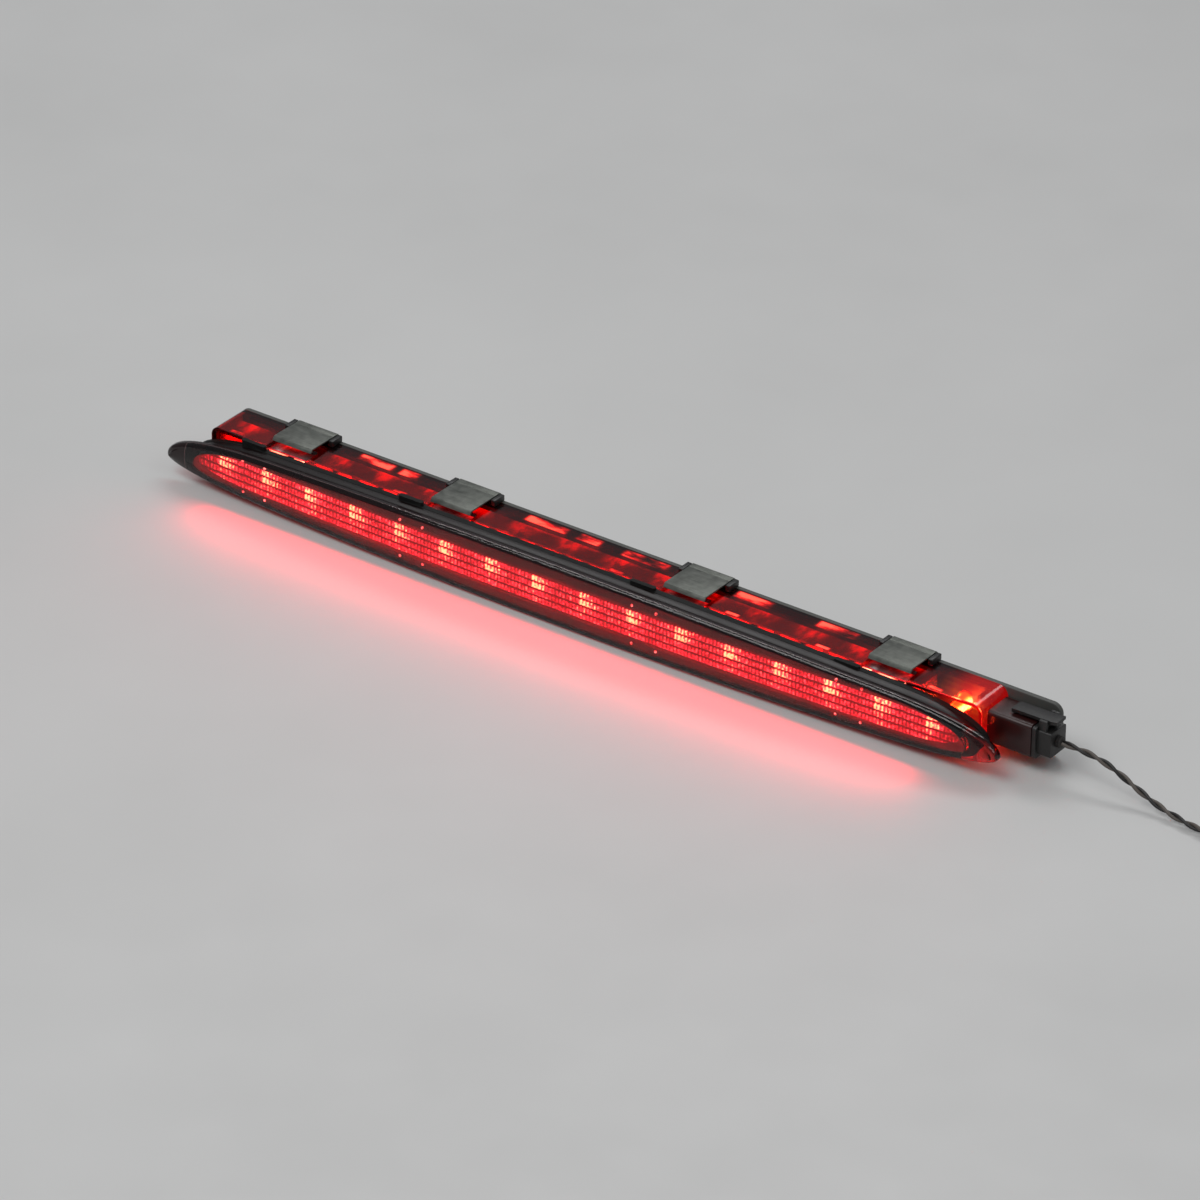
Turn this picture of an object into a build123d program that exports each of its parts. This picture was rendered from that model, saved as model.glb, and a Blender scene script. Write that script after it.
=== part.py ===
from build123d import *
import math
import os

os.makedirs("parts", exist_ok=True)

# A long third brake light that snaps into a slot in a boot lid. It lies on its underside.
# X runs along the lamp with the plug at +X, the lens looks along -Y, and +Z is up.
# The origin is under the middle of the lamp, on the surface that it lies on.
# All lengths are millimetres. "Depth" is measured backwards (+Y) from the middle of the lens.

# ---- overall ----
lens_half = 193.7            # half the length of the eye-shaped lens
tail_end = 204.0             # plug end of the back cover, measured from the lens centre
total_depth = 36.0           # lens front to the back of the spring clips
lens_x = (lens_half - tail_end) / 2
face_y = -total_depth / 2

# ---- lens outline, seen from the front ----
lens_top = 25.5
shoulder_x = 150.0           # where the long edges turn into the rounded ends
shoulder_top = 21.7
shoulder_bottom = 2.1
tip_z = 9.0
end_roundness = 0.5523       # handle length of a quarter ellipse
bow_reach = 200.0            # the front is bowed in plan: its ends lie further back
bow_depth = 5.4

# ---- lens and the rings behind it (depths) ----
lens_edge = 4.6
lens_skin = 2.4
lens_bevel = 1.0
nose_length = 12.4           # the lens's solid end beyond its hollow skirt
skirt_inset = 1.3
skirt_wall = 1.0
frame_back = 8.4
frame_inset = 0.2
frame_tip_inset = 9.0
gasket_back = 11.0
gasket_inset = 0.1
gasket_tip_inset = 8.6
gasket_wall = 2.5
gap = 0.05                   # between pieces that are pressed together
mask_front = 3.1
mask_back = 4.3
panel_front = 2.8
panel_back = 5.6

# ---- lit window ----
window_half = 177.0
window_bottom = 6.7
window_top = 18.4
window_end_z = 11.5
window_shoulder_drop = 0.8
band_count = 4
band_groove = 0.5
groove_depth = 1.0

# ---- snap studs beside the window ----
stud_shifts = (-14.0, -3.0)  # each clip has a pair of studs beside it
stud_radius = 0.55
stud_front = 2.55
stud_back = 3.05

# ---- housing ----
housing_left = -178.0
housing_right = 181.0
housing_bottom = 1.0
housing_top = 22.6
housing_back = 33.0
housing_wall = 1.8
housing_round = 4.0
cover_rib = 0.7
cover_back = 35.0
rib_spacing = 10.0
rib_thickness = 1.4
rib_clearance = 13.0         # the ribs stop this far from each clip's centre

# ---- light engine ----
led_count = 16
led_pitch = 22.0
led_z = 12.5
led_radius = 2.5
led_length = 8.6
board_front = 29.6
board_thickness = 1.6
board_bottom = 4.6
board_top = 20.2
tray_front = 17.9
tray_back = 27.0
tray_margin = 10.6
funnel_width = 20.0
funnel_height = 14.0
funnel_taper = 22.0
lead_spacing = 2.54
lead_radius = 0.27
lead_hole = 0.35
led_flange = 2.9
flange_length = 1.0
board_left_margin = 6.0      # board beyond the first and the last diode
board_right_margin = 13.0
chip_length = 3.2
chip_width = 1.6
chip_height = 0.65
chip_setback = 1.2           # from the board's lower edge
diode_size = (4.5, 2.3, 2.8)
diode_shift = 6.5
diode_lift = 2.0
pad_length = 8.0
pad_height = 4.0

# ---- spring clips ----
stations = (-140.5, -62.0, 47.5, 138.5)   # clip centres, measured from the lens centre
clip_width = 19.0
sheet = 0.7
leaf_front = 15.4            # at the middle of the lamp; the leaves follow the bow
leaf_back = 32.0
leaf_rear_z = 24.5
leaf_front_z = 24.7
slot_width = 20.4
slot_back = 19.8             # at the middle of the lamp; the slots follow the bow
slot_round = 1.2
lip_depth = 1.7              # how far the lip at a leaf's front edge reaches back
lip_drop = 1.1
catch_width = 2.0
catch_shift = 1.3            # from a clip's edge to the middle of its catch
catch_reach = 3.2
catch_height = 2.5
lug_start = -20.0
lug_end = -8.5
lug_height = 1.3
lug_thickness = 2.0
lug_reach = 4.0
lug_round = 0.9

# ---- connector ----
socket_end = 200.0
socket_floor = 184.0
socket_y = 26.0              # depth of the connector axis
socket_z = 12.5
socket_size = 13.6
socket_wall = 1.4
plug_start = 186.5
plug_end = 207.5
plug_size = 10.2
plug_clearance = 0.3
pin_offset = 2.2
pin_end = 195.0
seal_end = 209.5
seal_radius = 2.3
lever_pivot_x = 203.6
lever_pivot_z = 20.6
lever_start = 189.0
lever_end = 208.6
lever_width = 6.0

# ---- lead: a twisted pair of thin wires, with its spare length coiled ----
lead_diameter = 2.6
coil_x = 290.0
coil_depth = 32.0
coil_radius = 14.3
coil_lift = 0.8
coil_height = 5.6
coil_slack = 0.2             # the coil's envelope stands this much outside its wires
tie_width = 3.0
tie_wall = 0.7
far_width = 7.6
far_length = 14.0
far_height = 5.8
far_setback = 21.5           # from the coil's middle to the far connector's near face
far_shift = 0.8
far_contact = 1.7
far_opening = 1.5


def at_x(station):
    """Return the frame X of a distance from the lens centre."""
    return lens_x + station


def at_depth(depth):
    """Return the frame Y of a depth behind the middle of the lens."""
    return face_y + depth


def bow(station):
    """Return how far the bowed front lies behind its middle at a station."""
    return bow_depth * (station / bow_reach) ** 2


def facing(depth):
    """Return the plane that faces the viewer at a depth: X to the right, Z up."""
    return Plane.XZ.offset(-at_depth(depth))


def eye_face(half, top, side_top, bottom, side_bottom, end_z):
    """Sketch the closed eye shape that the lens and its rings share, ahead of the lens."""
    left = at_x(-shoulder_x)
    right = at_x(shoulder_x)
    reach = (half - shoulder_x) * end_roundness
    rise = Vector(0, (side_top - end_z) * end_roundness)
    fall = Vector(0, (end_z - side_bottom) * end_roundness)
    tip_right = Vector(at_x(half), end_z)
    tip_left = Vector(at_x(-half), end_z)
    with BuildSketch(facing(-1)) as outline:
        with BuildLine():
            upper = ThreePointArc((left, side_top), (at_x(0), top), (right, side_top))
            lower = ThreePointArc((right, side_bottom), (at_x(0), bottom), (left, side_bottom))
            Bezier(upper @ 1, upper @ 1 + (upper % 1) * reach, tip_right + rise, tip_right)
            Bezier(tip_right, tip_right - fall, lower @ 0 - (lower % 0) * reach, lower @ 0)
            Bezier(lower @ 1, lower @ 1 + (lower % 1) * reach, tip_left - fall, tip_left)
            Bezier(tip_left, tip_left + rise, upper @ 0 - (upper % 0) * reach, upper @ 0)
        make_face()
    return outline.sketch


def bowed_face(front, back, height=-1):
    """Sketch, in plan, the strip between two depths that follows the lens's bow."""
    with BuildSketch(Plane.XY.offset(height)) as strip:
        with BuildLine():
            ends = []
            for depth in (front, back):
                arc = ThreePointArc(
                    (at_x(-bow_reach), at_depth(depth + bow_depth)),
                    (at_x(0), at_depth(depth)),
                    (at_x(bow_reach), at_depth(depth + bow_depth)),
                )
                ends.append((arc @ 0, arc @ 1))
            Line(ends[0][0], ends[1][0])
            Line(ends[0][1], ends[1][1])
        make_face()
    return strip.sketch


def bowed_plate(outline, front, back):
    """Make the part of an outline's prism that lies between two bowed depths."""
    strip = bowed_face(front, back)
    with BuildPart() as plate:
        extrude(strip, amount=lens_top + 2)
        extrude(outline, amount=-2 * total_depth, mode=Mode.INTERSECT)
    return plate.part


def lens_plate(front, back, inset, tip_inset):
    """Make a bowed plate of the lens outline, drawn in by inset and, at its tips, tip_inset."""
    outline = eye_face(lens_half - tip_inset, lens_top - inset, shoulder_top - inset,
                       inset, shoulder_bottom + inset, tip_z)
    return bowed_plate(outline, front, back)


def window_plate(front, back, grow):
    """Make a bowed plate of the lit window's outline, grown by grow all round."""
    outline = eye_face(window_half + grow, window_top + grow, window_top + grow - window_shoulder_drop,
                       window_bottom - grow, window_bottom - grow + 0.5, window_end_z)
    return bowed_plate(outline, front, back)


def block(x_start, x_end, depth_start, depth_end, z_start, z_end):
    """Make a box between two stations, two depths and two heights."""
    with BuildPart() as solid:
        with BuildSketch(Plane.XY.offset(z_start)):
            with Locations((at_x((x_start + x_end) / 2), at_depth((depth_start + depth_end) / 2))):
                Rectangle(x_end - x_start, depth_end - depth_start)
        extrude(amount=z_end - z_start)
    return solid.part


def save(part, label):
    """Label a finished piece and write it."""
    part.label = label
    export_step(part, f"parts/{label}.step")


led_stations = [(number - (led_count - 1) / 2) * led_pitch for number in range(led_count)]
stud_stations = [station + shift for station in stations for shift in stud_shifts]

# ---- lens: a clear red cap with solid, rounded ends ----
lens_cap = lens_plate(0, lens_edge, 0, 0)
lens_skirt = lens_plate(lens_edge - 0.5, frame_back - 0.3, skirt_inset, nose_length)
lens_hollow = lens_plate(lens_skin, frame_back + 1, skirt_inset + skirt_wall, nose_length + skirt_wall)
with BuildPart() as outer_lens:
    add(lens_cap)
    chamfer(outer_lens.faces().sort_by(Axis.Y)[0].edges(), length=lens_bevel)
    add(lens_skirt)
    add(lens_hollow, mode=Mode.SUBTRACT)
save(outer_lens.part, "outer_lens")

# ---- black mask behind the lens, with the lit window and the stud holes ----
mask_inset = skirt_inset + skirt_wall + 0.15
mask_plate = lens_plate(mask_front, mask_back, mask_inset, nose_length + skirt_wall + 0.2)
mask_window = window_plate(mask_front - 1, mask_back + 1, 0.15)
with BuildPart() as light_mask:
    add(mask_plate)
    add(mask_window, mode=Mode.SUBTRACT)
save(light_mask.part, "light_mask")

# ---- ribbed light panel: four long bands parted by grooves ----
panel_plate = window_plate(panel_front, panel_back, 0)
band_height = (window_top - window_bottom) / band_count
with BuildPart() as light_panel:
    add(panel_plate)
    for number in range(1, band_count):
        groove_z = window_bottom + number * band_height
        groove = bowed_face(panel_front - 1, panel_front + groove_depth, groove_z - band_groove / 2)
        extrude(groove, amount=band_groove, mode=Mode.SUBTRACT)
save(light_panel.part, "light_panel")

# ---- snap studs that show as bright dots above and below the lit window ----
stud_solids = []
for station in stud_stations:
    spread = (station / shoulder_x) ** 2
    bow_here = bow(station)
    margin_low = (shoulder_bottom * spread + 2.3 + window_bottom) / 2
    margin_high = (lens_top - (lens_top - shoulder_top) * spread - 2.3 + window_top - 0.4) / 2
    for stud_z in (margin_low, margin_high):
        with BuildPart() as stud:
            with BuildSketch(facing(bow_here + stud_front)):
                with Locations((at_x(station), stud_z)):
                    Circle(stud_radius)
            extrude(amount=-(stud_back - stud_front))
        stud_solids.append(stud.part)
save(Compound(children=stud_solids), "snap_studs")

# ---- glossy frame and rubber gasket behind the lens ----
frame_ring = lens_plate(lens_edge + gap, frame_back, frame_inset, frame_tip_inset)
frame_opening = lens_plate(lens_edge - 1, frame_back + 1, skirt_inset - 0.1, nose_length - 0.1)
with BuildPart() as rim_frame:
    add(frame_ring)
    add(frame_opening, mode=Mode.SUBTRACT)
save(rim_frame.part, "rim_frame")

gasket_ring = lens_plate(frame_back + gap, gasket_back, gasket_inset, gasket_tip_inset)
gasket_opening = lens_plate(frame_back - 1, gasket_back + 1, gasket_inset + gasket_wall, nose_length + 0.6)
with BuildPart() as rim_gasket:
    add(gasket_ring)
    for station in stations:
        lug_top = lens_top + lug_height - (lens_top - shoulder_top) * (station / shoulder_x) ** 2
        lug_middle = station + (lug_start + lug_end) / 2
        bow_here = bow(lug_middle)
        with BuildSketch(Plane.XY.offset(lug_top - lug_reach)):
            with Locations((at_x(lug_middle), at_depth(bow_here + (frame_back + gasket_back) / 2))):
                RectangleRounded(lug_end - lug_start, lug_thickness, lug_round)
        extrude(amount=lug_reach)
    add(gasket_opening, mode=Mode.SUBTRACT)
save(rim_gasket.part, "rim_gasket")

# ---- housing: a red box with a lit opening in front and light slots under the clip tips ----
box_middle_x = at_x((housing_left + housing_right) / 2)
box_length = housing_right - housing_left
box_middle_z = (housing_bottom + housing_top) / 2
box_height = housing_top - housing_bottom
housing_strip = bowed_face(gasket_back + gap, total_depth * 2)
cavity_strip = bowed_face(gasket_back + housing_wall, total_depth * 2)
light_opening = window_plate(gasket_back - 2, gasket_back + 8, 1.2)
with BuildPart() as housing_cavity:
    extrude(cavity_strip, amount=lens_top + 2)
    with BuildSketch(facing(housing_back)):
        with Locations((box_middle_x, box_middle_z)):
            RectangleRounded(box_length - 2 * housing_wall, box_height - 2 * housing_wall,
                             housing_round - housing_wall)
    extrude(amount=total_depth, mode=Mode.INTERSECT)
with BuildPart() as housing:
    with BuildSketch(facing(housing_back)):
        with Locations((box_middle_x, box_middle_z)):
            RectangleRounded(box_length, box_height, housing_round)
    extrude(amount=housing_back - gasket_back + 1)
    extrude(housing_strip, amount=lens_top + 2, mode=Mode.INTERSECT)
    add(housing_cavity.part, mode=Mode.SUBTRACT)
    add(light_opening, mode=Mode.SUBTRACT)
    with BuildSketch(Plane.XY.offset(-1)):
        for station in stations:
            slot_end = slot_back + bow(station)
            with Locations((at_x(station), at_depth(slot_end / 2))):
                RectangleRounded(slot_width, slot_end, slot_round)
    extrude(amount=lens_top + 3, mode=Mode.SUBTRACT)
save(housing.part, "housing")

# ---- mirrored tray: one funnel per diode, except the last, which lights the clear end ----
funnel_stations = led_stations[:-1]
with BuildPart() as reflector_tray:
    add(block(funnel_stations[0] - tray_margin, funnel_stations[-1] + tray_margin, tray_front, tray_back,
              board_bottom, board_top))
    with BuildSketch(facing(tray_front)):
        with Locations(*[(at_x(station), led_z) for station in funnel_stations]):
            Rectangle(funnel_width, funnel_height)
    extrude(amount=-(tray_back - tray_front), taper=funnel_taper, mode=Mode.SUBTRACT)
save(reflector_tray.part, "reflector_tray")

# ---- circuit board with its diodes ----
with BuildPart() as circuit_board:
    add(block(led_stations[0] - board_left_margin, led_stations[-1] + board_right_margin,
              board_front, board_front + board_thickness, board_bottom, board_top))
    with BuildSketch(facing(board_front)):
        with Locations(*[(at_x(station + side * lead_spacing / 2), led_z)
                         for station in led_stations for side in (-1, 1)]):
            Circle(lead_hole)
    extrude(amount=-board_thickness, mode=Mode.SUBTRACT)
save(circuit_board.part, "circuit_board")

led_solids = []
lead_solids = []
for station in led_stations:
    with BuildPart() as dome:
        with BuildSketch(Plane(origin=(at_x(station), at_depth(board_front), led_z), x_dir=(1, 0, 0),
                               z_dir=(0, 0, 1))):
            with BuildLine():
                Polyline((0, -(led_length - led_radius)), (0, 0), (led_flange, 0),
                         (led_flange, -flange_length), (led_radius, -flange_length),
                         (led_radius, -(led_length - led_radius)))
                ThreePointArc((led_radius, -(led_length - led_radius)),
                              (led_radius * math.sin(math.pi / 4),
                               -(led_length - led_radius) - led_radius * math.cos(math.pi / 4)),
                              (0, -led_length))
                Line((0, -led_length), (0, -(led_length - led_radius)))
            make_face()
        revolve(axis=Axis((at_x(station), 0, led_z), (0, 1, 0)))
    led_solids.append(dome.part)
    for side in (-1, 1):
        with BuildPart() as leg:
            with BuildSketch(facing(board_front + 0.02)):
                with Locations((at_x(station + side * lead_spacing / 2), led_z)):
                    Circle(lead_radius)
            extrude(amount=-(board_thickness + 1.0))
        lead_solids.append(leg.part)
save(Compound(children=led_solids), "led_domes")
save(Compound(children=lead_solids), "led_legs")

chip_z = board_bottom + chip_setback
chip_solids = [
    block(station + (led_pitch - chip_length) / 2, station + (led_pitch + chip_length) / 2,
          board_front - chip_height, board_front, chip_z, chip_z + chip_width)
    for station in led_stations[:-1]
]
save(Compound(children=chip_solids), "resistors")

diode_start = led_stations[-1] + diode_shift
diode_z = led_z + diode_lift
save(block(diode_start, diode_start + diode_size[0], board_front - diode_size[1], board_front,
           diode_z, diode_z + diode_size[2]), "blocking_diode")

pad_z = board_bottom + 1
pad_solids = [
    block(station - pad_length / 2, station + pad_length / 2, board_front + board_thickness,
          housing_back, pad_z, pad_z + pad_height)
    for station in led_stations[1::3]
]
save(Compound(children=pad_solids), "board_pads")

# ---- back cover with its long ribs, and the catches that hold the clips ----
with BuildPart() as back_cover:
    with BuildSketch(facing(housing_back)):
        with Locations((at_x((housing_left + tail_end) / 2), box_middle_z)):
            RectangleRounded(tail_end - housing_left, box_height, housing_round)
    extrude(amount=-(cover_back - housing_back))
    with BuildSketch(facing(cover_back)):
        rib_starts = (housing_left + 2, *[station + rib_clearance for station in stations])
        rib_ends = (*[station - rib_clearance for station in stations], tail_end - 2)
        for side in (-1, 1):
            for start, end in zip(rib_starts, rib_ends):
                with Locations((at_x((start + end) / 2), box_middle_z + side * rib_spacing / 2)):
                    Rectangle(end - start, rib_thickness)
    extrude(amount=-cover_rib)
save(back_cover.part, "back_cover")

catch_solids = []
for station in stations:
    for side in (-1, 1):
        middle = station + side * (clip_width / 2 + catch_shift)
        catch_solids.append(block(middle - catch_width / 2, middle + catch_width / 2,
                                  leaf_back - catch_reach, cover_back,
                                  housing_top + 0.02, housing_top + catch_height))
save(Compound(children=catch_solids), "clip_catches")

# ---- spring clips: a back web with a lower leaf, and an upper leaf that flexes ----
web_top = leaf_rear_z + sheet
for number, station in enumerate(stations, start=1):
    leaf_tip = leaf_front + bow(station)
    with BuildPart() as spring_clip:
        with BuildSketch(Plane.YZ.offset(at_x(station) - clip_width / 2)):
            with BuildLine():
                FilletPolyline((at_depth(leaf_back + 0.4), web_top - sheet / 2),
                               (at_depth(total_depth - sheet / 2), web_top - sheet / 2),
                               (at_depth(total_depth - sheet / 2), sheet / 2),
                               (at_depth(leaf_tip), sheet / 2), radius=1.0)
                offset(amount=sheet / 2, side=Side.BOTH)
            make_face()
        extrude(amount=clip_width)
    save(spring_clip.part, f"spring_clip_{number}")

    with BuildPart() as clip_leaf:
        with BuildSketch(Plane.YZ.offset(at_x(station) - clip_width / 2)):
            with BuildLine():
                Polyline((at_depth(leaf_back), leaf_rear_z), (at_depth(leaf_back), leaf_rear_z + sheet),
                         (at_depth(leaf_tip + lip_depth - 0.5), leaf_front_z + sheet),
                         (at_depth(leaf_tip), leaf_front_z - lip_drop + 0.2),
                         (at_depth(leaf_tip + 0.6), leaf_front_z - lip_drop),
                         (at_depth(leaf_tip + lip_depth), leaf_front_z), close=True)
            make_face()
        extrude(amount=clip_width)
    save(clip_leaf.part, f"clip_leaf_{number}")

# ---- connector socket on the end of the housing ----
axis_y = at_depth(socket_y)


def along(station):
    """Return the plane across the connector axis at a station: Y to the right, Z up."""
    return Plane(origin=(at_x(station), axis_y, socket_z), x_dir=(0, 1, 0), z_dir=(1, 0, 0))


with BuildPart() as socket_housing:
    with BuildSketch(along(housing_right)):
        RectangleRounded(socket_size, socket_size, 1.6)
    extrude(amount=socket_end - housing_right)
    with BuildSketch(along(socket_floor)):
        RectangleRounded(socket_size - 2 * socket_wall, socket_size - 2 * socket_wall, 0.8)
    extrude(amount=socket_end, mode=Mode.SUBTRACT)
    with BuildSketch(along(lever_start + 2.4)):
        with Locations((0, socket_size / 2 + 0.1)):
            Rectangle(4, 0.6)
    extrude(amount=2.0)
save(socket_housing.part, "socket_housing")

pin_solids = []
contact_solids = []
for side in (-1, 1):
    with BuildPart() as pin:
        with BuildSketch(along(socket_floor)):
            with Locations((side * pin_offset, 0)):
                Rectangle(0.8, 0.8)
        extrude(amount=pin_end - socket_floor)
    pin_solids.append(pin.part)
    with BuildPart() as contact:
        with BuildSketch(along(plug_start + 1)):
            with Locations((side * pin_offset, 0)):
                Circle(1.25)
                Circle(0.95, mode=Mode.SUBTRACT)
        extrude(amount=pin_end - plug_start)
    contact_solids.append(contact.part)
save(Compound(children=pin_solids), "terminal_pins")
save(Compound(children=contact_solids), "plug_contacts")

# ---- plug with its collar, ears for the latch lever, and wire seal ----
with BuildPart() as plug_housing:
    with BuildSketch(along(plug_start)):
        RectangleRounded(plug_size, plug_size, 0.8)
    extrude(amount=plug_end - plug_start)
    with BuildSketch(along(socket_end + plug_clearance)):
        RectangleRounded(socket_size - 0.4, socket_size - 0.6, 1.4)
    extrude(amount=1.6)
    with BuildSketch(along(lever_pivot_x - 1.6)):
        with Locations((-lever_width / 2 - 1.0, plug_size / 2 + 2.0),
                       (lever_width / 2 + 1.0, plug_size / 2 + 2.0)):
            RectangleRounded(1.4, 4.4, 0.4)
    extrude(amount=3.2)
    with BuildSketch(along(plug_start)):
        with Locations((-pin_offset, 0), (pin_offset, 0)):
            Circle(1.3)
    extrude(amount=pin_end - plug_start + 2, mode=Mode.SUBTRACT)
save(plug_housing.part, "plug_housing")

pivot_plane = Plane(origin=(at_x(lever_pivot_x), axis_y, lever_pivot_z), x_dir=(1, 0, 0),
                    z_dir=(0, -1, 0))
with BuildPart() as latch_pin:
    with BuildSketch(pivot_plane):
        Circle(0.7)
    extrude(amount=lever_width / 2 + 0.3, both=True)
save(latch_pin.part, "latch_pin")

with BuildPart() as latch_lever:
    with BuildSketch(pivot_plane):
        with BuildLine():
            Polyline((lever_start - lever_pivot_x, -0.75), (lever_start - lever_pivot_x + 1.6, -0.75),
                     (lever_start - lever_pivot_x + 1.9, -0.3), (-2.2, -0.3), (-1.4, -1.1),
                     (1.4, -1.1), (2.4, -0.3), (lever_end - lever_pivot_x, 0.2),
                     (lever_end - lever_pivot_x, 1.5), (2.4, 1.1), (lever_start - lever_pivot_x, 0.9),
                     close=True)
        make_face()
    extrude(amount=lever_width / 2, both=True)
    with BuildSketch(pivot_plane):
        Circle(0.75)
    extrude(amount=lever_width, both=True, mode=Mode.SUBTRACT)
save(latch_lever.part, "latch_lever")

with BuildPart() as wire_seal:
    with BuildSketch(along(plug_end)):
        Circle(seal_radius)
    extrude(amount=seal_end - plug_end)
save(wire_seal.part, "wire_seal")

# ---- lead: from the seal, down to the surface, and into its coil ----
route = [
    (seal_end, 26.0, 12.5),
    (219.5, 26.0, 12.5),
    (230.5, 25.7, 10.4),
    (242.0, 24.6, 6.0),
    (254.0, 22.5, 3.0),
    (266.0, 20.3, 2.2),
    (278.0, 18.7, 2.2),
    (coil_x, 17.9, 2.3),
]
tail_route = [
    (304.3, coil_depth, 5.0),
    (304.5, 39.0, 4.8),
    (303.5, 46.5, 2.9),
    (303.5, coil_depth + far_setback, 2.9),
]


def placed(points):
    """Turn (station, depth, height) points into frame positions."""
    return [Vector(at_x(x), at_depth(depth), z) for x, depth, z in points]


def corner_radii(points):
    """Return the largest good bend radius at each inner point of a route."""
    radii = []
    for before, corner, after in zip(points, points[1:], points[2:]):
        shorter = min((corner - before).length, (after - corner).length)
        half_turn = math.radians((corner - before).get_angle(after - corner)) / 2
        radii.append(0.45 * shorter / math.tan(half_turn))
    return radii


def cord_tube(points, label):
    """Sweep the lead's section along a route and print its bends and volume."""
    corners = placed(points)
    radii = corner_radii(corners)
    with BuildPart() as tube:
        with BuildLine() as path:
            FilletPolyline(*corners, radius=radii)
        with BuildSketch(Plane(origin=path.line @ 0, z_dir=path.line % 0)):
            Circle(lead_diameter / 2)
        sweep(path=path.line)
    length = sum(edge.length for edge in path.line.edges())
    section = math.pi * (lead_diameter / 2) ** 2
    print(label, "radii", [round(radius, 1) for radius in radii], "length", round(length, 1),
          "volume ratio", round(tube.part.volume / (section * length), 4))
    save(tube.part, label)


cord_tube(route, "lead")
cord_tube(tail_route, "lead_tail")

with BuildPart() as lead_coil:
    with BuildSketch(Plane.XY.offset(coil_lift)):
        with Locations((at_x(coil_x), at_depth(coil_depth))):
            Circle(coil_radius + lead_diameter / 2 + coil_slack)
            Circle(coil_radius - lead_diameter / 2 - coil_slack, mode=Mode.SUBTRACT)
    extrude(amount=coil_height)
save(lead_coil.part, "lead_coil")

tie_inner = lead_diameter + 0.6
with BuildPart() as coil_tie:
    with BuildSketch(Plane(origin=(at_x(coil_x - coil_radius), at_depth(coil_depth),
                                   coil_lift + coil_height / 2), x_dir=(1, 0, 0), z_dir=(0, -1, 0))):
        RectangleRounded(tie_inner + 2 * tie_wall, coil_height + 2 * coil_lift, 0.9)
        RectangleRounded(tie_inner, coil_height + 0.2, 0.3, mode=Mode.SUBTRACT)
    extrude(amount=tie_width / 2, both=True)
save(coil_tie.part, "coil_tie")

# ---- two-way connector on the far end of the lead ----
far_x = at_x(coil_x + coil_radius - far_shift)
far_start = at_depth(coil_depth + far_setback)
with BuildPart() as far_connector:
    with BuildSketch(Plane.XY):
        with Locations((far_x, far_start + far_length / 2)):
            RectangleRounded(far_width, far_length, 0.8)
    extrude(amount=far_height)
    with BuildSketch(Plane.XZ.offset(-(far_start + far_length))):
        with Locations((far_x - far_contact, far_height / 2), (far_x + far_contact, far_height / 2)):
            Rectangle(far_opening, far_opening)
    extrude(amount=far_length / 2, mode=Mode.SUBTRACT)
save(far_connector.part, "far_connector")
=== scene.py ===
import math

import bmesh
import bpy
from mathutils import Matrix, Vector


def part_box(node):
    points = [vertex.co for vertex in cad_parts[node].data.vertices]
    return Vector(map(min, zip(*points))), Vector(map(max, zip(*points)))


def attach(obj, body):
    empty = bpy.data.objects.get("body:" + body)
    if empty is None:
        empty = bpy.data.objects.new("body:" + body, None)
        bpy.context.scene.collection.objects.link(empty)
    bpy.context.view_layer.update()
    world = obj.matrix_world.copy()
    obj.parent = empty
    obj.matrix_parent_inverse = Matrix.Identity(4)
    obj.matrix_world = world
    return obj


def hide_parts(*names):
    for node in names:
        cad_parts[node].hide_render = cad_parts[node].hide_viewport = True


# A lit third brake light on a pale floor. X runs along the lamp towards its plug, the lens looks along
# -Y, and Z is up. All lengths are metres. "Depth" is measured backwards from the middle of the lens.

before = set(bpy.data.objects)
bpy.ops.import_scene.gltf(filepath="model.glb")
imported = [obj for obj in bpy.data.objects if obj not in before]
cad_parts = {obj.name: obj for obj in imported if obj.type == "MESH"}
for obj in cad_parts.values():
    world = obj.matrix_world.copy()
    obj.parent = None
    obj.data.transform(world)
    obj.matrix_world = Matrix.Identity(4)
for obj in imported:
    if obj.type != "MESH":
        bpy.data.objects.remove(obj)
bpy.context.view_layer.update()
MM = 0.001

# ---- places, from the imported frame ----
lens_low, lens_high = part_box("outer_lens")
lens_x = (lens_low.x + lens_high.x) / 2
lens_half = (lens_high.x - lens_low.x) / 2
lens_top = lens_high.z
face_y = lens_low.y
led_low, led_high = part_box("led_domes")
led_flange = (led_high.z - led_low.z) / 2
led_z = (led_high.z + led_low.z) / 2
led_count = 16
first_led = led_low.x + led_flange
led_pitch = (led_high.x - led_low.x - 2 * led_flange) / (led_count - 1)
last_led = led_high.x - led_flange
panel_low, panel_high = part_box("light_panel")
window_bottom, window_top = panel_low.z, panel_high.z
housing_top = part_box("housing")[1].z
seal_low, seal_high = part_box("wire_seal")

# ---- shape of the lens, shared by every ring behind it; insets run inwards from its outline ----
SHOULDER_X = 150 * MM
SHOULDER_TOP = 21.7 * MM
SHOULDER_BOTTOM = 2.1 * MM
TIP_Z = 9 * MM
ROUNDNESS = 0.5523
BOW_REACH = 200 * MM
BOW_DEPTH = 5.4 * MM
LENS_EDGE = 4.6 * MM
LENS_SKIN = 2.4 * MM
LENS_ROUND = 1.9 * MM
LENS_CROWN = 0.8 * MM
RIGHT_NOSE = 178 * MM
LEFT_NOSE = 183 * MM
FRAME_BACK = 8.4 * MM
SKIRT_INSET, SKIRT_TIP_INSET = 1.3 * MM, 12.4 * MM
HOLLOW_INSET, HOLLOW_TIP_INSET = 2.3 * MM, 13.4 * MM
RIM_INSET, RIM_TIP_INSET = 0.2 * MM, 9.0 * MM
RIM_SOFT = 0.45 * MM
RIM_BEND = 0.13 * MM
RIM_GAP = 0.05 * MM
HOLLOW_DRAFT = 0.05 * MM

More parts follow.
